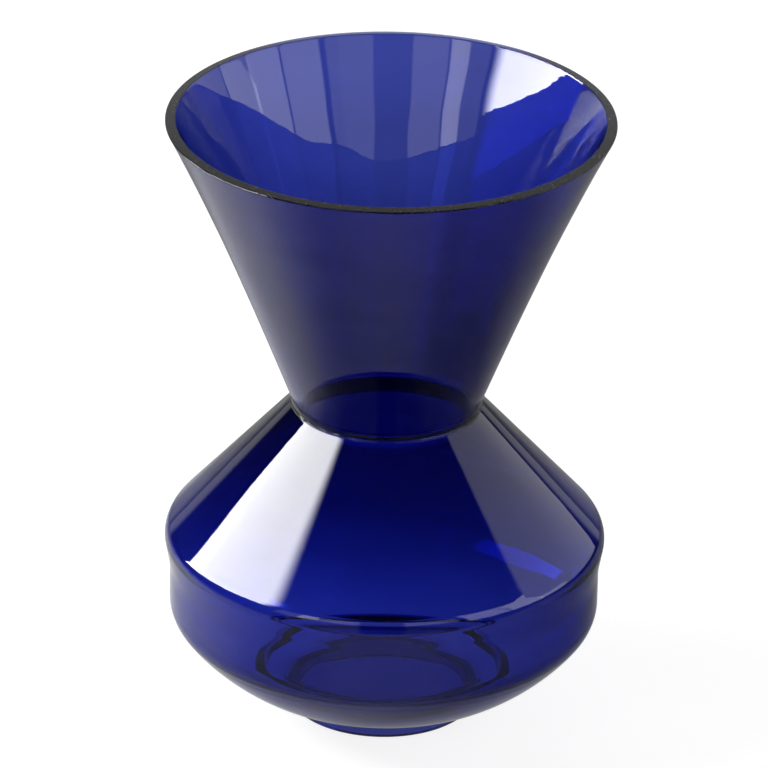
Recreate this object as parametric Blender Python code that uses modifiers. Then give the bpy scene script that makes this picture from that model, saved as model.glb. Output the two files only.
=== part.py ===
"""A thick-necked glass vase in three turned pieces: a funnel, a vessel and a foot ring.

Metres, +Z up. The origin is on the axis, in the plane that the vase stands on.
"""

import math

import bpy
import numpy as np

# Heights above the standing plane
OVERALL_HEIGHT = 0.300
NECK_HEIGHT = 0.1562
BELLY_EDGE_HEIGHT = 0.0485
FOOT_HEIGHT = 0.007

# Outside diameters
RIM_DIAMETER = 0.2098
WAIST_DIAMETER = 0.0888
BELLY_DIAMETER = 0.203
FOOT_DIAMETER = 0.089

# Glass thicknesses, square to the wall; the vessel's wall thins down the shoulder
RIM_WALL = 0.0047
WAIST_WALL = 0.0056
NECK_WALL = 0.0085
VESSEL_WALL = 0.0032
FLOOR_THICKNESS = 0.0045

# Funnel: the draw of its wall inside a straight cone, its flared end and the ground rim
FLARE_DEPTH = 0.0020
WAIST_RISE = 0.0012
WAIST_ROUND = 0.0008
END_SPREAD = 0.0004
RIM_TILT_DROP = 0.0007
RIM_BEVEL = 0.0006

# Vessel: the rolled lip, the upright band, the swell at the shoulder edge and the rounded corners
LIP_REACH = 0.0002
LIP_HEIGHT = 0.0011
LIP_ROUND = 0.0005
LIP_ROOT_ROUND = 0.0005
BAND_HEIGHT = 0.0235
SHOULDER_RISE = 0.0168
SHOULDER_SWELL = 0.0031
SHOULDER_ROUND = 0.009
BAND_ROUND = 0.050
BELLY_ROUND = 0.016
BOWL_CROWN = 0.0060
BORE_ROUND = 0.0040

# Inside of the base: the rounded edge of the floor and the low ridge that rings it
FLOOR_ROUND = 0.006
HEEL_REACH = 0.0130
HEEL_WIDTH = 0.006
HEEL_RISE = 0.0055
HEEL_ROUND = 0.0015

# Foot ring
FOOT_WIDTH = 0.005
FOOT_ROUND = 0.0012

# Gap between pieces that stand on each other
SEAT_GAP = 0.0003

# Steps of the turned surfaces and of their curves
TURN_STEPS = 64
FLARE_STEPS = 8
BOWL_STEPS = 12
MERGE_DISTANCE = 0.00001

# Deep blue glass
FUNNEL_BLUE = (0.030, 0.040, 0.290, 1.0)
VESSEL_BLUE = (0.022, 0.030, 0.240, 1.0)
FOOT_BLUE = (0.012, 0.018, 0.170, 1.0)
GLASS_ROUGHNESS = 0.03
GLASS_IOR = 1.52


def rounded(corners):
    """Path through corners (r, z, radius, steps), each turned by an arc that touches both its runs.

    The first and last corner, and any of radius 0, stay points.
    """
    places = [np.array(corner[:2]) for corner in corners]
    points = [places[0]]
    for before, place, after, corner in zip(places, places[1:], places[2:], corners[1:]):
        radius, steps = corner[2:]
        if radius == 0.0:
            points.append(place)
            continue
        back = (before - place) / np.linalg.norm(before - place)
        ahead = (after - place) / np.linalg.norm(after - place)
        half_angle = 0.5 * math.acos(np.dot(back, ahead))
        bisector = (back + ahead) / np.linalg.norm(back + ahead)
        centre = place + bisector * radius / math.sin(half_angle)
        first = place + back * radius / math.tan(half_angle) - centre
        last = place + ahead * radius / math.tan(half_angle) - centre
        square = np.array([-first[1], first[0]])
        sweep = math.atan2(np.dot(square, last), np.dot(first, last))
        for angle in np.linspace(0.0, sweep, steps + 1):
            points.append(centre + first * math.cos(angle) + square * math.sin(angle))
    points.append(places[-1])
    return points


def crowned(start, end, crown, steps):
    """Points of the arc from start to end whose middle stands outside the chord by crown."""
    chord = np.linalg.norm(end - start)
    along = (end - start) / chord
    outward = np.array([-along[1], along[0]])
    radius = (chord ** 2 / 4 + crown ** 2) / (2 * crown)
    reach = math.asin(chord / 2 / radius)
    centre = (start + end) / 2 + outward * (crown - radius)
    angles = np.linspace(-reach, reach, steps + 1)
    return [centre + radius * (math.sin(a) * along + math.cos(a) * outward) for a in angles]


def inset(path, depths):
    """Each point of the path moved square to it by its depth.

    It moves to the right of the run, so inwards on a wall that runs down.
    """
    runs = np.diff(np.array(path), axis=0)
    runs = runs / np.linalg.norm(runs, axis=1)[:, None]
    sides = np.stack([runs[:, 1], -runs[:, 0]], axis=1)
    before = np.vstack([sides[:1], sides])
    after = np.vstack([sides, sides[-1:]])
    mean = (before + after) / np.linalg.norm(before + after, axis=1)[:, None]
    stretch = np.sum(mean * after, axis=1)[:, None]
    return list(np.array(path) + depths[:, None] * mean / stretch)


def sharp(points):
    """Points as corners that stay sharp."""
    return [(point[0], point[1], 0.0, 0) for point in points]


def point_at_radius(first, second, radius):
    """Point of the line through first and second at a radius."""
    return first + (second - first) * (radius - first[0]) / (second[0] - first[0])


def point_at_height(first, second, height):
    """Point of the line through first and second at a height."""
    return first + (second - first) * (height - first[1]) / (second[1] - first[1])


def funnel_wall():
    """Outside of the funnel from the rim to the waist, flaring towards the rim.

    With t from 1 at the rim to 0 at the waist, the wall lies inside a straight cone by the cubic
    t - t^3, scaled so that its greatest value is FLARE_DEPTH.
    """
    t = np.linspace(1.0, 0.0, FLARE_STEPS + 1)
    cubic_peak = 2 / (3 * math.sqrt(3))
    rim_height = OVERALL_HEIGHT - RIM_TILT_DROP
    waist_height = NECK_HEIGHT + WAIST_RISE
    cone = (WAIST_DIAMETER + (RIM_DIAMETER - WAIST_DIAMETER) * t) / 2
    radius = cone - FLARE_DEPTH * (t - t ** 3) / cubic_peak
    height = waist_height + (rim_height - waist_height) * t
    return list(np.stack([radius, height], axis=1))


def end_radius():
    """Outside radius of the funnel's flared end."""
    return WAIST_DIAMETER / 2 + END_SPREAD


def lip_radius():
    """Outside radius of the vessel's lip, a little outside the funnel's end that stands on it."""
    return end_radius() + LIP_REACH


def funnel_inside():
    """Inside of the funnel from the rim to the waist, the glass thickening evenly on the way."""
    outer = funnel_wall()
    return inset(outer, np.linspace(RIM_WALL, WAIST_WALL, len(outer)))


def bore_radius():
    """Radius of the bore that the funnel and the vessel share at the neck."""
    return funnel_inside()[-1][0]


def funnel_profile():
    """Bore and inner wall going up, the bevelled rim, then the outer wall down to the flared end."""
    outer = funnel_wall()
    inner = funnel_inside()[::-1]
    seat = NECK_HEIGHT + SEAT_GAP
    inner_edge = point_at_height(inner[-2], inner[-1], OVERALL_HEIGHT)
    corners = [(bore_radius(), seat, 0.0, 0)]
    corners += sharp(inner[:-1])
    corners.append((*inner_edge, RIM_BEVEL, 1))
    corners.append((*outer[0], RIM_BEVEL, 1))
    corners += sharp(outer[1:-1])
    corners.append((*outer[-1], WAIST_ROUND, 3))
    corners.append((end_radius(), seat, 0.0, 0))
    return rounded(corners)


def vessel_wall():
    """Outside of the vessel from the root of its lip to the foot."""
    belly = BELLY_DIAMETER / 2
    band_top = BELLY_EDGE_HEIGHT + BAND_HEIGHT
    shoulder_edge = band_top + SHOULDER_RISE
    belly_edge = np.array([belly, BELLY_EDGE_HEIGHT])
    bowl_end = np.array([FOOT_DIAMETER / 2, FOOT_HEIGHT + SEAT_GAP])
    bowl = crowned(belly_edge, bowl_end, BOWL_CROWN, BOWL_STEPS)
    corners = [(lip_radius(), NECK_HEIGHT - LIP_HEIGHT, 0.0, 0)]
    corners.append((belly + SHOULDER_SWELL, shoulder_edge, SHOULDER_ROUND, 7))
    corners.append((belly, band_top, BAND_ROUND, 2))
    corners.append((*belly_edge, BELLY_ROUND, 4))
    corners += sharp(bowl[1:])
    return rounded(corners)


def vessel_inside():
    """Inside of the vessel from the foot up to its neck, the glass thickening up the shoulder."""
    outer = vessel_wall()
    depths = np.full(len(outer), VESSEL_WALL)
    depths[0] = NECK_WALL
    return inset(outer, depths)[::-1]


def heel_ridge(inner):
    """Corners of the rounded ridge that stands square to the bowl's inside, outside the foot by HEEL_REACH."""
    radius = FOOT_DIAMETER / 2 + HEEL_REACH
    above = next(i for i, point in enumerate(inner) if point[0] > radius)
    middle = point_at_radius(inner[above - 1], inner[above], radius)
    along = (inner[above] - inner[above - 1]) / np.linalg.norm(inner[above] - inner[above - 1])
    square = np.array([-along[1], along[0]])
    corners = [(*(middle - along * HEEL_WIDTH / 2), HEEL_ROUND, 2)]
    corners.append((*(middle + square * HEEL_RISE), HEEL_ROUND, 4))
    corners.append((*(middle + along * HEEL_WIDTH / 2), HEEL_ROUND, 2))
    return corners


def vessel_profile():
    """From the middle of the floor up the inner wall to the bore, over the lip, down the outer wall."""
    outer = vessel_wall()
    inner = vessel_inside()
    bore = bore_radius()
    underside = FOOT_HEIGHT + SEAT_GAP
    floor = underside + FLOOR_THICKNESS
    above_floor = next(i for i, point in enumerate(inner) if point[1] > floor)
    floor_edge = point_at_height(inner[above_floor - 1], inner[above_floor], floor)
    bore_edge = point_at_radius(inner[-2], inner[-1], bore)
    ridge = heel_ridge(inner)
    above_ridge = next(i for i, point in enumerate(inner) if point[0] > ridge[-1][0] + HEEL_ROUND)
    corners = [(0.0, floor, 0.0, 0)]
    corners.append((*floor_edge, FLOOR_ROUND, 2))
    corners += ridge
    corners += sharp(inner[above_ridge:-1])
    corners.append((*bore_edge, BORE_ROUND, 3))
    corners.append((bore, NECK_HEIGHT, 0.0, 0))
    corners.append((lip_radius(), NECK_HEIGHT, LIP_ROUND, 4))
    corners.append((*outer[0], LIP_ROOT_ROUND, 2))
    corners += sharp(outer[1:])
    corners.append((0.0, underside, 0.0, 0))
    return rounded(corners)


def foot_profile():
    """The section of the foot ring: flat on top, where the vessel stands, and rounded below."""
    outside = FOOT_DIAMETER / 2
    inside = outside - FOOT_WIDTH
    corners = [(outside, FOOT_HEIGHT, 0.0, 0)]
    corners.append((outside, 0.0, FOOT_ROUND, 2))
    corners.append((inside, 0.0, FOOT_ROUND, 2))
    corners.append((inside, FOOT_HEIGHT, 0.0, 0))
    return rounded(corners)


def glass(name, colour):
    """Clear coloured glass."""
    material = bpy.data.materials.new(name)
    material.use_nodes = True
    material.diffuse_color = colour
    shader = material.node_tree.nodes["Principled BSDF"]
    shader.inputs["Base Color"].default_value = colour
    shader.inputs["Roughness"].default_value = GLASS_ROUGHNESS
    shader.inputs["Metallic"].default_value = 0.0
    shader.inputs["IOR"].default_value = GLASS_IOR
    shader.inputs["Transmission Weight"].default_value = 1.0
    return material


def turned(name, profile, closed, material, collection):
    """A piece turned about Z: its profile stands in the XZ plane at +X, under a Screw modifier."""
    edges = [(i, i + 1) for i in range(len(profile) - 1)]
    if closed:
        edges.append((len(profile) - 1, 0))
    mesh = bpy.data.meshes.new(name)
    mesh.from_pydata([(r, 0.0, z) for r, z in profile], edges, [])
    mesh.materials.append(material)
    piece = bpy.data.objects.new(name, mesh)
    collection.objects.link(piece)
    turn = piece.modifiers.new("Turn", "SCREW")
    turn.axis = "Z"
    turn.angle = 2 * math.pi
    turn.steps = TURN_STEPS
    turn.render_steps = TURN_STEPS
    turn.use_merge_vertices = True
    turn.merge_threshold = MERGE_DISTANCE
    turn.use_smooth_shade = True
    return piece


def build():
    """Clear the scene, then make the three pieces in one collection."""
    for leftover in list(bpy.data.objects):
        bpy.data.objects.remove(leftover, do_unlink=True)
    vase = bpy.data.collections.new("thick_neck_vase")
    bpy.context.scene.collection.children.link(vase)
    turned("funnel", funnel_profile(), True, glass("funnel_glass", FUNNEL_BLUE), vase)
    turned("vessel", vessel_profile(), False, glass("vessel_glass", VESSEL_BLUE), vase)
    turned("foot", foot_profile(), True, glass("foot_glass", FOOT_BLUE), vase)


build()
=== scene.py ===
"""Looks of a thick-necked vase of dark blue glass: three turned pieces, a pale table top and soft light.

Metres, +Z up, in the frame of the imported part. The camera stands on the -Y side.
"""

import math

import bpy
import numpy as np
from mathutils import Matrix, Vector


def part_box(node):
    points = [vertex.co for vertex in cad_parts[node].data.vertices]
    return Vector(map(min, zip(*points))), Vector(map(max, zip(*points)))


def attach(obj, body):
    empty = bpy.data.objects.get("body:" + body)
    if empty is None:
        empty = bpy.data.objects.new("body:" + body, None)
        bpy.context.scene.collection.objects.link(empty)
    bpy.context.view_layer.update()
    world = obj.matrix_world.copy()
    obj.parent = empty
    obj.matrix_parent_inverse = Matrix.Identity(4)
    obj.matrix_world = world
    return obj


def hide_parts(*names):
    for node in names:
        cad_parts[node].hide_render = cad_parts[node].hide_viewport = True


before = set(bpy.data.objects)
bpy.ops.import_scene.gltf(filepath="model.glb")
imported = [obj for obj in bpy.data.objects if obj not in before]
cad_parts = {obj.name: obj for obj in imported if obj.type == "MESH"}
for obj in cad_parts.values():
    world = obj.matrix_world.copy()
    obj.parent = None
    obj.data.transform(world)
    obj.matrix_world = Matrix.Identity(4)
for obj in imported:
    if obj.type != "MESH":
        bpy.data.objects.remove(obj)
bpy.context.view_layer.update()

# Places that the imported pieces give
FUNNEL_LOW, FUNNEL_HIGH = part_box("funnel")
VESSEL_LOW, VESSEL_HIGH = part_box("vessel")
_, FOOT_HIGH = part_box("foot")
RIM_RADIUS = FUNNEL_HIGH[0]
RIM_HEIGHT = FUNNEL_HIGH[2]
FUNNEL_SEAT = FUNNEL_LOW[2]
LIP_TOP = VESSEL_HIGH[2]
UNDERSIDE = VESSEL_LOW[2]
FOOT_RADIUS = FOOT_HIGH[0]
FOOT_TOP = FOOT_HIGH[2]

# Funnel: thickness square to the wall at both ends, the flared end and the ground rim
RIM_WALL = 0.0047
WAIST_WALL = 0.0056
WAIST_RADIUS = 0.0444
WAIST_RISE = 0.0012
WAIST_FILLET = 0.0008
END_RADIUS = 0.0448
FLARE_DEPTH = 0.0020
RIM_TILT_DROP = 0.0007
ARRIS = 0.0005
ARRIS_CUT = 0.4 * ARRIS

# Vessel: thickness square to the wall, thinning down the shoulder, and the corners of the outside
NECK_WALL = 0.0085
VESSEL_WALL = 0.0032
LIP_RADIUS = 0.0450
LIP_HEIGHT = 0.0011
LIP_ROUND = 0.0005
LIP_ROOT_ROUND = 0.0005
SHOULDER_EDGE_HEIGHT = 0.0888
SHOULDER_SWELL = 0.0031
SHOULDER_ROUND = 0.009
SHOULDER_EDGE_REACH = SHOULDER_ROUND / 4
BAND_RADIUS = 0.1015
BAND_TOP_HEIGHT = 0.0720
BAND_ROUND = 0.050
BELLY_EDGE_HEIGHT = 0.0485
BELLY_ROUND = 0.016
BOWL_CROWN = 0.0060
BORE_ROUND = 0.0040

# Inside of the base: the floor and the low ridge that rings it
FLOOR_HEIGHT = 0.0118
FLOOR_ROUND = 0.006
HEEL_RADIUS = FOOT_RADIUS + 0.0130
HEEL_WIDTH = 0.006
HEEL_RISE = 0.0055
HEEL_ROUND = 0.0015

# Foot ring
FOOT_WIDTH = 0.005
FOOT_ROUND = 0.0012

# Unevenness of blown glass: depth of the waves in the wall, their counts round the vase, the radians by which
# they turn and swell on the way up, their share in the vessel and the height where the funnel's start
WAVE_DEPTH = 0.00007
WAVE_COUNTS = (4, 7, 11)
WAVE_TURN = 9.0
WAVE_SWELL = 5.0
VESSEL_WAVES = 0.3
FUNNEL_WAVE_START = FUNNEL_SEAT + 0.05

# How much steeper the inside of the funnel is shaded than it stands, as a slope
INSIDE_LEAN = 0.060

# Steps round the vase, along its walls and in straight runs, and the lengths from which a run gets them
TURNS = 256
WALL_STEPS = 60
BOWL_STEPS = 40
RUN_STEPS = 6
SHORT_RUN = 0.001
LONG_RUN = 0.012

# Steps of the arcs, and the steps of the bowl that the belly's arc takes up
ARRIS_STEPS = 6
WAIST_STEPS = 10
LIP_STEPS = 10
LIP_ROOT_STEPS = 8
SHOULDER_STEPS = 20
BAND_STEPS = 12
BELLY_STEPS = 20
BELLY_BOWL_STEPS = 5
BORE_STEPS = 10
FLOOR_STEPS = 10
HEEL_ROOT_STEPS = 8
HEEL_TOP_STEPS = 14
FOOT_STEPS = 8

# Glass: the tint of its surface, the colour that it lets through in depth, and faint level cords in it
GLASS_IOR = 1.52
TINT = (0.85, 0.90, 0.98, 1.0)
DEPTH_COLOUR = (0.0, 0.129, 0.765, 1.0)
ABSORPTION = 590.0
CORD_STRETCH = (1.0, 1.0, 4.0)
CORD_SCALE = 16.0
CORD_DETAIL = 3.0
CORD_RANGE = (0.3, 0.7)
CORD_SHADES = (0.93, 1.07)
CORD_STRENGTH = 0.05
CORD_DEPTH = 0.001

# Ground rim: its roughness, the grain that varies it, and how level a face has to be to count as ground
RIM_ROUGHNESS = 0.24
GRAIN_SCALE = 900.0
GRAIN_DETAIL = 2.0
GRAIN_SPREAD = 0.16
GROUND_LEVEL = 0.75
GROUND_BLEND = 0.2

# Table top: its edges, its shade, how white the camera sees it, and painted pools of light that it glows
# with, each with its middle, the distances from it where the painted light starts to fade and ends, and its
# strength
TABLE_FRONT = -0.235
TABLE_BACK = 4.0
TABLE_SIDE = 3.0
TABLE_SHADE = (0.24, 0.24, 0.24, 1.0)
TABLE_ROUGHNESS = 0.6
TABLE_WHITE = 0.85
PAINTED_LIGHT_POOLS = (
    ((0.0, 0.05, 0.0), 0.03, 0.20, 0.46),
    ((-0.30, 0.15, 0.0), 0.12, 0.33, 0.48),
    ((0.0, 0.90, 0.0), 0.05, 0.45, 0.37),
    ((0.0, -0.22, 0.0), 0.04, 0.17, 0.15),
)

# Room: white, its own dim shade, the backdrop's, and where the backdrop starts, 1 being straight behind
WHITE = (1.0, 1.0, 1.0, 1.0)
ROOM = (0.02, 0.02, 0.024, 1.0)
BACKDROP = (0.50, 0.50, 0.50, 1.0)
BACKDROP_EDGE = 0.79
BACKDROP_BLEND = 0.04

# Lamps: name, azimuth, distance, left, right, low, high, width of the soft sides, strength
LAMPS = (
    ("left_window_low", -48, 0.75, -2.31, -0.15, 0.49, 0.60, 0.13, 18.5),
    ("left_window", -48, 0.75, -2.31, -0.15, 0.60, 1.02, 0.15, 16.5),
    ("right_near_window", 48, 1.5, -0.18, 0.475, 0.30, 1.50, 0.05, 2.0),
    ("right_window", 48, 1.5, 0.455, 1.20, 0.30, 1.50, 0.05, 2.5),
    ("right_far_window", 105, 1.6, -0.61, 0.0, 0.30, 0.66, 0.02, 2.3),
    ("right_back_window", 105, 1.6, 0.0, 1.12, 0.30, 0.66, 0.02, 1.1),
    ("right_top_window", 105, 1.6, -0.61, 1.12, 0.66, 1.85, 0.10, 1.05),
    ("front_left_panel", -25, 2.2, -0.30, 0.55, 0.74, 1.60, 0.07, 1.1),
    ("front_left_streak", -25, 2.2, -0.78, -0.28, 0.74, 1.60, 0.07, 3.4),
    ("left_gap", -50, 2.3, -0.28, 0.30, 0.60, 1.60, 0.07, 0.6),
    ("front_right_panel", 25, 2.2, -0.59, 0.55, 0.74, 1.60, 0.07, 0.9),
    ("front_wall", 0, 2.6, -2.2, 1.6, 0.80, 2.6, 0.07, 0.16),
    ("front_left_low", -30, 2.2, -0.80, 0.80, -1.5, 0.74, 0.10, 0.22),
    ("front_right_low", 30, 2.2, -0.80, 0.80, -1.5, 0.74, 0.10, 0.10),
)

# Camera
CAMERA_DISTANCE = 3.73
CAMERA_ELEVATION = math.radians(25.51)
CAMERA_ROLL = math.radians(0.94)
CAMERA_LENS = 373.0
SENSOR_WIDTH = 36.0
FARTHEST_SEEN = 50.0
AIM = Vector((-0.0014, 0.0, 0.1641))


def cosine_spread(start, end, steps):
    """Points from start to end, the end left out, crowded towards both ends by half a cosine wave."""
    share = (1 - np.cos(np.linspace(0, math.pi, steps + 1)[:-1])) / 2
    return start + share[:, None] * (end - start)


def rounded(corners):
    """Profile through corners (radius, height, fillet, steps).

    Each fillet is the arc that touches both runs of its corner. Runs over LONG_RUN, and those over SHORT_RUN
    that meet an arc, are filled in by cosine_spread.
    """
    places = np.array([corner[:2] for corner in corners], dtype=float)
    stretches = [places[:1]]
    for before, place, after, (_, _, fillet, steps) in zip(places, places[1:], places[2:], corners[1:]):
        if fillet == 0.0:
            stretches.append(place[None])
            continue
        back = (before - place) / np.linalg.norm(before - place)
        ahead = (after - place) / np.linalg.norm(after - place)
        half_angle = 0.5 * math.acos(np.dot(back, ahead))
        bisector = (back + ahead) / np.linalg.norm(back + ahead)
        centre = place + bisector * fillet / math.sin(half_angle)
        first = place + back * fillet / math.tan(half_angle) - centre
        last = place + ahead * fillet / math.tan(half_angle) - centre
        square = np.array([-first[1], first[0]])
        sweep = math.atan2(np.dot(square, last), np.dot(first, last))
        angle = np.linspace(0.0, sweep, steps + 1)[:, None]
        stretches.append(centre + first * np.cos(angle) + square * np.sin(angle))
    stretches.append(places[-1:])
    filled = []
    for stretch, following in zip(stretches, stretches[1:]):
        filled.append(stretch[:-1])
        length = np.linalg.norm(following[0] - stretch[-1])
        meets_arc = len(stretch) > 1 or len(following) > 1
        fill = length > (SHORT_RUN if meets_arc else LONG_RUN)
        filled.append(cosine_spread(stretch[-1], following[0], RUN_STEPS if fill else 1))
    filled.append(stretches[-1])
    return np.vstack(filled)


def inset(path, depths):
    """Each point of the path moved square to it by its depth, to the right: inwards where it runs down."""
    runs = np.diff(path, axis=0)
    runs = runs / np.linalg.norm(runs, axis=1)[:, None]
    sides = np.stack([runs[:, 1], -runs[:, 0]], axis=1)
    before = np.vstack([sides[:1], sides])
    after = np.vstack([sides, sides[-1:]])
    mean = (before + after) / np.linalg.norm(before + after, axis=1)[:, None]
    stretch = np.sum(mean * after, axis=1)[:, None]
    return path + depths[:, None] * mean / stretch


def crowned(start, end, crown, steps):
    """Arc from start to end whose middle stands outside the chord by crown."""
    chord = np.linalg.norm(end - start)
    along = (end - start) / chord
    outward = np.array([-along[1], along[0]])
    radius = (chord ** 2 / 4 + crown ** 2) / (2 * crown)
    reach = math.asin(chord / 2 / radius)
    centre = (start + end) / 2 + outward * (crown - radius)
    angle = np.linspace(-reach, reach, steps + 1)[:, None]
    return centre + radius * (np.sin(angle) * along + np.cos(angle) * outward)


def sharp(points):
    """Points as corners without a fillet."""
    return [(radius, height, 0.0, 0) for radius, height in points]


def at_height(first, second, height):
    """Point of the line through first and second at a height."""
    return first + (second - first) * (height - first[1]) / (second[1] - first[1])


def at_radius(first, second, radius):
    """Point of the line through first and second at a radius."""
    return first + (second - first) * (radius - first[0]) / (second[0] - first[0])


def funnel_wall():
    """Outside of the funnel from rim to waist: a cone drawn in by the cubic t - t^3.

    The share t is 1 at the rim and 0 at the waist.
    """
    t = np.linspace(1.0, 0.0, WALL_STEPS + 1)
    cubic_peak = 2 / (3 * math.sqrt(3))
    corner = RIM_RADIUS + ARRIS_CUT
    radius = WAIST_RADIUS + (corner - WAIST_RADIUS) * t - FLARE_DEPTH * (t - t ** 3) / cubic_peak
    low = FUNNEL_SEAT + WAIST_RISE
    height = low + (RIM_HEIGHT - RIM_TILT_DROP - low) * t
    return np.stack([radius, height], axis=1)


def funnel_inside():
    """Inside of the funnel from rim to waist, the glass thickening evenly on the way."""
    outer = funnel_wall()
    return inset(outer, np.linspace(RIM_WALL, WAIST_WALL, len(outer)))


def funnel_profile():
    """Bore and inner wall going up, the ground rim, then the outer wall down to the flared end."""
    outer = funnel_wall()
    inner = funnel_inside()[::-1]
    inner_edge = at_height(inner[-2], inner[-1], RIM_HEIGHT)
    corners = [(inner[0][0], FUNNEL_SEAT, 0.0, 0)]
    corners += sharp(inner[:-1])
    corners.append((*inner_edge, ARRIS, ARRIS_STEPS))
    corners.append((*outer[0], ARRIS, ARRIS_STEPS))
    corners += sharp(outer[1:-1])
    corners.append((*outer[-1], WAIST_FILLET, WAIST_STEPS))
    corners.append((END_RADIUS, FUNNEL_SEAT, 0.0, 0))
    corners.append((inner[0][0], FUNNEL_SEAT, 0.0, 0))
    return rounded(corners)[:-1]


def vessel_wall():
    """Outside of the vessel from the root of its lip over shoulder, band and bowl to the foot."""
    belly_edge = np.array([BAND_RADIUS, BELLY_EDGE_HEIGHT])
    bowl = crowned(belly_edge, np.array([FOOT_RADIUS, UNDERSIDE]), BOWL_CROWN, BOWL_STEPS)
    corners = [(LIP_RADIUS, LIP_TOP - LIP_HEIGHT, 0.0, 0)]
    corners.append((BAND_RADIUS + SHOULDER_SWELL, SHOULDER_EDGE_HEIGHT, SHOULDER_ROUND, SHOULDER_STEPS))
    corners.append((BAND_RADIUS, BAND_TOP_HEIGHT, BAND_ROUND, BAND_STEPS))
    corners.append((*bowl[0], BELLY_ROUND, BELLY_STEPS))
    corners += sharp(bowl[BELLY_BOWL_STEPS:])
    return rounded(corners)


def vessel_inside():
    """Inside of the vessel from the foot up to its neck, the glass thickening up the shoulder."""
    outer = vessel_wall()
    edge = np.argmax(outer[:, 0] > BAND_RADIUS - SHOULDER_EDGE_REACH)
    share = np.clip((outer[edge, 0] - outer[:, 0]) / (outer[edge, 0] - LIP_RADIUS), 0.0, 1.0)
    share[edge:] = 0.0
    return inset(outer, VESSEL_WALL + (NECK_WALL - VESSEL_WALL) * share)[::-1]


def heel_ridge(inner):
    """Corners of the rounded ridge that stands square to the bowl's inside at HEEL_RADIUS."""
    above = np.argmax(inner[:, 0] > HEEL_RADIUS)
    middle = at_radius(inner[above - 1], inner[above], HEEL_RADIUS)
    along = (inner[above] - inner[above - 1]) / np.linalg.norm(inner[above] - inner[above - 1])
    square = np.array([-along[1], along[0]])
    corners = [(*(middle - along * HEEL_WIDTH / 2), HEEL_ROUND, HEEL_ROOT_STEPS)]
    corners.append((*(middle + square * HEEL_RISE), HEEL_ROUND, HEEL_TOP_STEPS))
    corners.append((*(middle + along * HEEL_WIDTH / 2), HEEL_ROUND, HEEL_ROOT_STEPS))
    return corners


def vessel_profile():
    """From the middle of the floor up the inner wall to the bore, over the lip and down to the underside."""
    outer = vessel_wall()
    inner = vessel_inside()
    bore = funnel_inside()[-1][0]
    above_floor = np.argmax(inner[:, 1] > FLOOR_HEIGHT)
    floor_edge = at_height(inner[above_floor - 1], inner[above_floor], FLOOR_HEIGHT)
    ridge = heel_ridge(inner)
    above_ridge = np.argmax(inner[:, 0] > ridge[-1][0] + HEEL_ROUND)
    corners = [(0.0, FLOOR_HEIGHT, 0.0, 0)]
    corners.append((*floor_edge, FLOOR_ROUND, FLOOR_STEPS))
    corners += ridge
    corners += sharp(inner[above_ridge:-1])
    corners.append((*at_radius(inner[-2], inner[-1], bore), BORE_ROUND, BORE_STEPS))
    corners.append((bore, LIP_TOP, 0.0, 0))
    corners.append((LIP_RADIUS, LIP_TOP, LIP_ROUND, LIP_STEPS))
    corners.append((*outer[0], LIP_ROOT_ROUND, LIP_ROOT_STEPS))
    corners += sharp(outer[1:])
    corners.append((0.0, UNDERSIDE, 0.0, 0))
    return rounded(corners)


def foot_profile():
    """The section of the foot ring: flat on top, where the vessel stands, and rounded below."""
    inside = FOOT_RADIUS - FOOT_WIDTH
    corners = [(FOOT_RADIUS, FOOT_TOP, 0.0, 0)]
    corners.append((FOOT_RADIUS, 0.0, FOOT_ROUND, FOOT_STEPS))
    corners.append((inside, 0.0, FOOT_ROUND, FOOT_STEPS))
    corners.append((inside, FOOT_TOP, 0.0, 0))
    return rounded(corners)


def waves(profile, low, high):
    """Unevenness of a blown wall at each profile point and turn a: the sum of cosines of several counts of a.

    Each cosine turns and swells with height. The sum fades to nothing at the heights low and high
    by a half sine.
    """
    angle = np.linspace(0.0, 2 * math.pi, TURNS, endpoint=False)[None, :]
    climb = np.clip((profile[:, 1:] - low) / (high - low), 0.0, 1.0)
    counts = np.array(WAVE_COUNTS)[:, None, None]
    drift = np.cos(counts * angle + counts ** 2 + WAVE_TURN * climb) * np.cos(WAVE_SWELL * climb + counts)
    return WAVE_DEPTH * np.sin(math.pi * climb) * drift.sum(axis=0)


def turned(name, profile, uneven, material):
    """Surface of revolution: a profile point at turn a lies at (radius cos a, radius sin a, height).

    The radius takes up the unevenness of that point and turn. A profile that starts and ends on the axis
    closes in two poles; any other closes on itself.
    """
    poled = profile[0, 0] == 0.0
    rings = profile[1:-1] if poled else profile
    angle = np.linspace(0.0, 2 * math.pi, TURNS, endpoint=False)
    radius = rings[:, :1] + (uneven[1:-1] if poled else uneven)
    across = radius * np.cos(angle)
    deep = radius * np.sin(angle)
    high = np.repeat(rings[:, 1:], TURNS, axis=1)
    points = np.stack([across, deep, high], axis=2).reshape(-1, 3)
    count = len(rings)
    ring = np.arange(count if not poled else count - 1)[:, None]
    turn = np.arange(TURNS)[None, :]
    following = (ring + 1) % count
    beside = (turn + 1) % TURNS
    here = ring * TURNS
    ahead = following * TURNS
    quads = np.stack([here + turn, ahead + turn, ahead + beside, here + beside], axis=2)
    faces = quads.reshape(-1, 4).tolist()
    if poled:
        first, last = len(points), len(points) + 1
        points = np.vstack([points, [[0, 0, profile[0, 1]], [0, 0, profile[-1, 1]]]])
        tail = (count - 1) * TURNS
        faces += np.stack([np.full(TURNS, first), turn[0], beside[0]], axis=1).tolist()
        faces += np.stack([np.full(TURNS, last), tail + beside[0], tail + turn[0]], axis=1).tolist()
    mesh = bpy.data.meshes.new(name)
    mesh.from_pydata(points.tolist(), [], faces)
    mesh.materials.append(material)
    mesh.polygons.foreach_set("use_smooth", np.ones(len(mesh.polygons), dtype=bool))
    mesh.update()
    piece = bpy.data.objects.new(name, mesh)
    bpy.context.scene.collection.objects.link(piece)
    return piece


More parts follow.
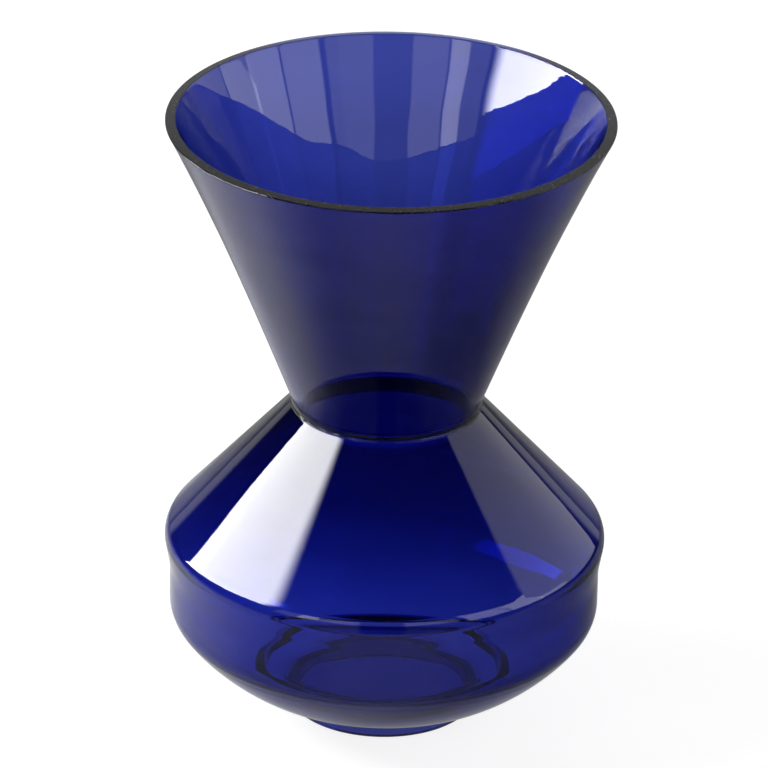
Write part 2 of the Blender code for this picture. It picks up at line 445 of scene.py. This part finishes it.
def lean_inside(piece, profile):
    """Shades the funnel's inner wall as if it stood steeper, by lowering its normals by INSIDE_LEAN."""
    inner = np.arange(len(profile)) < np.argmax(profile[:, 1])
    normals = np.empty(3 * len(piece.data.vertices), dtype=np.float32)
    piece.data.vertex_normals.foreach_get("vector", normals)
    normals = normals.reshape(-1, 3)
    normals[:, 2] -= INSIDE_LEAN * np.repeat(inner, TURNS)
    piece.data.normals_split_custom_set_from_vertices(normals / np.linalg.norm(normals, axis=1)[:, None])


def ground_edge(piece, profile):
    """Marks the ground rim: 1 on the level face between its two arrises, 0 elsewhere."""
    run = np.gradient(profile, axis=0)
    level = np.abs(run[:, 0]) / np.linalg.norm(run, axis=1)
    on_rim = profile[:, 1] > RIM_HEIGHT - 2 * RIM_TILT_DROP
    mark = np.where(on_rim, np.clip((level - GROUND_LEVEL) / GROUND_BLEND, 0.0, 1.0), 0.0)
    mask = piece.data.attributes.new("ground", "FLOAT", "POINT")
    mask.data.foreach_set("value", np.repeat(mark, TURNS).astype(np.float32))


def glass_flow():
    """Node group for blown glass: a tint with faint level cords, a roughness and the cords' height.

    The ground rim is untinted, and it alone is rough.
    """
    group = bpy.data.node_groups.new("glass_flow", "ShaderNodeTree")
    group.interface.new_socket("Tint", in_out="INPUT", socket_type="NodeSocketColor")
    group.interface.new_socket("Ground", in_out="INPUT", socket_type="NodeSocketFloat")
    group.interface.new_socket("Colour", in_out="OUTPUT", socket_type="NodeSocketColor")
    group.interface.new_socket("Roughness", in_out="OUTPUT", socket_type="NodeSocketFloat")
    group.interface.new_socket("Height", in_out="OUTPUT", socket_type="NodeSocketFloat")
    nodes, links = group.nodes, group.links
    inlet = nodes.new("NodeGroupInput")
    outlet = nodes.new("NodeGroupOutput")
    spot = nodes.new("ShaderNodeTexCoord")
    stretch = nodes.new("ShaderNodeMapping")
    stretch.inputs["Scale"].default_value = CORD_STRETCH
    links.new(spot.outputs["Object"], stretch.inputs["Vector"])
    cords = nodes.new("ShaderNodeTexNoise")
    cords.inputs["Scale"].default_value = CORD_SCALE
    cords.inputs["Detail"].default_value = CORD_DETAIL
    links.new(stretch.outputs["Vector"], cords.inputs["Vector"])
    shade = nodes.new("ShaderNodeMapRange")
    shade.inputs["From Min"].default_value = CORD_RANGE[0]
    shade.inputs["From Max"].default_value = CORD_RANGE[1]
    shade.inputs["To Min"].default_value = CORD_SHADES[0]
    shade.inputs["To Max"].default_value = CORD_SHADES[1]
    links.new(cords.outputs[0], shade.inputs["Value"])
    tint = nodes.new("ShaderNodeVectorMath")
    tint.operation = "SCALE"
    links.new(inlet.outputs["Tint"], tint.inputs[0])
    links.new(shade.outputs[0], tint.inputs["Scale"])
    paler = nodes.new("ShaderNodeMix")
    paler.data_type = "RGBA"
    paler.inputs["B"].default_value = WHITE
    links.new(inlet.outputs["Ground"], paler.inputs["Factor"])
    links.new(tint.outputs[0], paler.inputs["A"])
    links.new(paler.outputs["Result"], outlet.inputs["Colour"])
    grain = nodes.new("ShaderNodeTexNoise")
    grain.inputs["Scale"].default_value = GRAIN_SCALE
    grain.inputs["Detail"].default_value = GRAIN_DETAIL
    links.new(spot.outputs["Object"], grain.inputs["Vector"])
    rough = nodes.new("ShaderNodeMath")
    rough.operation = "MULTIPLY_ADD"
    rough.inputs[1].default_value = GRAIN_SPREAD
    rough.inputs[2].default_value = RIM_ROUGHNESS - GRAIN_SPREAD / 2
    links.new(grain.outputs[0], rough.inputs[0])
    masked = nodes.new("ShaderNodeMath")
    masked.operation = "MULTIPLY"
    links.new(rough.outputs[0], masked.inputs[0])
    links.new(inlet.outputs["Ground"], masked.inputs[1])
    links.new(masked.outputs[0], outlet.inputs["Roughness"])
    links.new(cords.outputs[0], outlet.inputs["Height"])
    return group


def glass(name, flow, has_ground_rim=False):
    """Clear blue glass that darkens with its depth, satin where it is ground and polished elsewhere."""
    material = bpy.data.materials.new(name)
    material.use_nodes = True
    tree = material.node_tree
    nodes, links = tree.nodes, tree.links
    shader = nodes["Principled BSDF"]
    shader.inputs["IOR"].default_value = GLASS_IOR
    shader.inputs["Transmission Weight"].default_value = 1.0
    look = nodes.new("ShaderNodeGroup")
    look.node_tree = flow
    look.inputs["Tint"].default_value = TINT
    links.new(look.outputs["Colour"], shader.inputs["Base Color"])
    shader.inputs["Roughness"].default_value = 0.0
    if has_ground_rim:
        ground = nodes.new("ShaderNodeAttribute")
        ground.attribute_name = "ground"
        links.new(ground.outputs["Fac"], look.inputs["Ground"])
        links.new(look.outputs["Roughness"], shader.inputs["Roughness"])
    bump = nodes.new("ShaderNodeBump")
    bump.inputs["Strength"].default_value = CORD_STRENGTH
    bump.inputs["Distance"].default_value = CORD_DEPTH
    links.new(look.outputs["Height"], bump.inputs["Height"])
    links.new(bump.outputs["Normal"], shader.inputs["Normal"])
    depth = nodes.new("ShaderNodeVolumeAbsorption")
    depth.inputs["Color"].default_value = DEPTH_COLOUR
    depth.inputs["Density"].default_value = ABSORPTION
    links.new(depth.outputs["Volume"], nodes["Material Output"].inputs["Volume"])
    return material


def place(piece, node, slot):
    """A piece that stands for a CAD node: it hangs from the root body, and the node is hidden."""
    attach(piece, "root")
    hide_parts(node)


def softbox(name, azimuth, distance, left, right, low, high, soft, strength):
    """An upright flat lamp with soft sides, in a wall square to an azimuth at a distance from the vase.

    Azimuths are in degrees from the camera side, positive to the right. Left and right are the lamp's edges
    along the wall, counted towards higher azimuths, and low and high its heights. Its light fades over the
    width soft at both sides. The camera doesn't see it.
    """
    lamp = bpy.data.lights.new(name, "AREA")
    lamp.shape = "RECTANGLE"
    lamp.size = right - left
    lamp.size_y = high - low
    lamp.energy = strength * math.pi * lamp.size * lamp.size_y
    lamp.use_nodes = True
    nodes, links = lamp.node_tree.nodes, lamp.node_tree.links
    spot = nodes.new("ShaderNodeNewGeometry")
    split = nodes.new("ShaderNodeSeparateXYZ")
    links.new(spot.outputs["Parametric"], split.inputs[0])
    # Parametric X runs from 0 to 1 across the lamp
    half = 0.5
    middle = nodes.new("ShaderNodeMath")
    middle.operation = "SUBTRACT"
    middle.inputs[1].default_value = half
    links.new(split.outputs["X"], middle.inputs[0])
    offset = nodes.new("ShaderNodeMath")
    offset.operation = "ABSOLUTE"
    links.new(middle.outputs[0], offset.inputs[0])
    fade = nodes.new("ShaderNodeMapRange")
    fade.interpolation_type = "SMOOTHSTEP"
    fade.inputs["From Min"].default_value = half - soft / lamp.size
    fade.inputs["From Max"].default_value = half
    fade.inputs["To Min"].default_value = 1.0
    fade.inputs["To Max"].default_value = 0.0
    links.new(offset.outputs[0], fade.inputs["Value"])
    links.new(fade.outputs[0], nodes["Emission"].inputs["Strength"])
    angle = math.radians(azimuth)
    outward = Vector((math.sin(angle), -math.cos(angle), 0.0))
    along = Vector((math.cos(angle), math.sin(angle), 0.0))
    panel = bpy.data.objects.new(name, lamp)
    centre = outward * distance + along * (left + right) / 2 + Vector((0.0, 0.0, (low + high) / 2))
    panel.matrix_world = Matrix.Translation(centre) @ outward.to_track_quat("Z", "Y").to_matrix().to_4x4()
    panel.visible_camera = False
    bpy.context.scene.collection.objects.link(panel)


def painted_light_pool(tree, spot, middle, near, far, strength):
    """Painted light of a round pool that the table glows with at a spot: full up to the distance near from
    its middle, none from far on.
    """
    reach = tree.nodes.new("ShaderNodeVectorMath")
    reach.operation = "DISTANCE"
    reach.inputs[1].default_value = middle
    tree.links.new(spot, reach.inputs[0])
    pool = tree.nodes.new("ShaderNodeMapRange")
    pool.interpolation_type = "SMOOTHSTEP"
    pool.inputs["From Min"].default_value = near
    pool.inputs["From Max"].default_value = far
    pool.inputs["To Min"].default_value = strength
    pool.inputs["To Max"].default_value = 0.0
    tree.links.new(reach.outputs["Value"], pool.inputs["Value"])
    return pool.outputs[0]


def table_top():
    """A table top under the vase, its front edge close to it, that glows in soft round pools of painted
    light.

    The camera sees it lit up to white, so that only the shadow shows.
    """
    mesh = bpy.data.meshes.new("table_top")
    front = [(-TABLE_SIDE, TABLE_FRONT, 0), (TABLE_SIDE, TABLE_FRONT, 0)]
    back = [(TABLE_SIDE, TABLE_BACK, 0), (-TABLE_SIDE, TABLE_BACK, 0)]
    mesh.from_pydata(front + back, [], [(0, 1, 2, 3)])
    material = bpy.data.materials.new("pale_table")
    material.use_nodes = True
    tree = material.node_tree
    shader = tree.nodes["Principled BSDF"]
    shader.inputs["Base Color"].default_value = TABLE_SHADE
    shader.inputs["Roughness"].default_value = TABLE_ROUGHNESS
    path = tree.nodes.new("ShaderNodeLightPath")
    spot = tree.nodes.new("ShaderNodeTexCoord").outputs["Object"]
    # Painted pools of light: the table glows with them to reflected and refracted rays, the camera sees
    # TABLE_WHITE
    light, *others = [painted_light_pool(tree, spot, *pool) for pool in PAINTED_LIGHT_POOLS]
    for pool in others:
        total = tree.nodes.new("ShaderNodeMath")
        tree.links.new(light, total.inputs[0])
        tree.links.new(pool, total.inputs[1])
        light = total.outputs[0]
    white = tree.nodes.new("ShaderNodeMix")
    tree.links.new(path.outputs["Is Camera Ray"], white.inputs["Factor"])
    tree.links.new(light, white.inputs["A"])
    white.inputs["B"].default_value = TABLE_WHITE
    shader.inputs["Emission Color"].default_value = WHITE
    tree.links.new(white.outputs[0], shader.inputs["Emission Strength"])
    mesh.materials.append(material)
    top = bpy.data.objects.new("table_top", mesh)
    bpy.context.scene.collection.objects.link(top)


def studio():
    """World: the camera sees white past the vase; other rays meet a dim room with a pale backdrop."""
    world = bpy.data.worlds.new("studio")
    bpy.context.scene.world = world
    world.use_nodes = True
    tree = world.node_tree
    nodes, links = tree.nodes, tree.links
    direction = nodes.new("ShaderNodeTexCoord")
    level = nodes.new("ShaderNodeVectorMath")
    level.operation = "MULTIPLY"
    level.inputs[1].default_value = (1.0, 1.0, 0.0)
    links.new(direction.outputs["Generated"], level.inputs[0])
    heading = nodes.new("ShaderNodeVectorMath")
    heading.operation = "NORMALIZE"
    links.new(level.outputs[0], heading.inputs[0])
    split = nodes.new("ShaderNodeSeparateXYZ")
    links.new(heading.outputs[0], split.inputs[0])
    behind = nodes.new("ShaderNodeMapRange")
    behind.interpolation_type = "SMOOTHSTEP"
    behind.inputs["From Min"].default_value = BACKDROP_EDGE
    behind.inputs["From Max"].default_value = BACKDROP_EDGE + BACKDROP_BLEND
    links.new(split.outputs["Y"], behind.inputs["Value"])
    shade = nodes.new("ShaderNodeMix")
    shade.data_type = "RGBA"
    shade.inputs["A"].default_value = ROOM
    shade.inputs["B"].default_value = BACKDROP
    links.new(behind.outputs[0], shade.inputs["Factor"])
    room = nodes["Background"]
    links.new(shade.outputs["Result"], room.inputs["Color"])
    white = nodes.new("ShaderNodeBackground")
    white.inputs["Color"].default_value = WHITE
    path = nodes.new("ShaderNodeLightPath")
    mix = nodes.new("ShaderNodeMixShader")
    links.new(path.outputs["Is Camera Ray"], mix.inputs["Fac"])
    links.new(room.outputs[0], mix.inputs[1])
    links.new(white.outputs[0], mix.inputs[2])
    links.new(mix.outputs[0], nodes["World Output"].inputs["Surface"])


def camera():
    """Long lens, looking down on the vase from the front."""
    lens = bpy.data.cameras.new("camera")
    lens.lens = CAMERA_LENS
    lens.sensor_width = SENSOR_WIDTH
    lens.clip_end = FARTHEST_SEEN
    view = bpy.data.objects.new("camera", lens)
    back = Vector((0, -math.cos(CAMERA_ELEVATION), math.sin(CAMERA_ELEVATION)))
    turn = back.to_track_quat("Z", "Y").to_matrix().to_4x4() @ Matrix.Rotation(CAMERA_ROLL, 4, "Z")
    view.matrix_world = Matrix.Translation(AIM + back * CAMERA_DISTANCE) @ turn
    bpy.context.scene.collection.objects.link(view)
    bpy.context.scene.camera = view


flow = glass_flow()
section = funnel_profile()
uneven = waves(section, FUNNEL_WAVE_START, RIM_HEIGHT)
funnel = turned("funnel_glass_piece", section, uneven, glass("funnel_glass", flow, has_ground_rim=True))
ground_edge(funnel, section)
lean_inside(funnel, section)
section = vessel_profile()
uneven = waves(section, UNDERSIDE, LIP_TOP) * VESSEL_WAVES
vessel = turned("vessel_glass_piece", section, uneven, glass("vessel_glass", flow))
section = foot_profile()
uneven = np.zeros((len(section), 1))
foot = turned("foot_glass_piece", section, uneven, glass("foot_glass", flow))
place(funnel, "funnel", "funnel_glass")
place(vessel, "vessel", "vessel_glass")
place(foot, "foot", "foot_glass")
table_top()
studio()
for lamp in LAMPS:
    softbox(*lamp)
camera()
bpy.context.scene.view_settings.view_transform = "Standard"
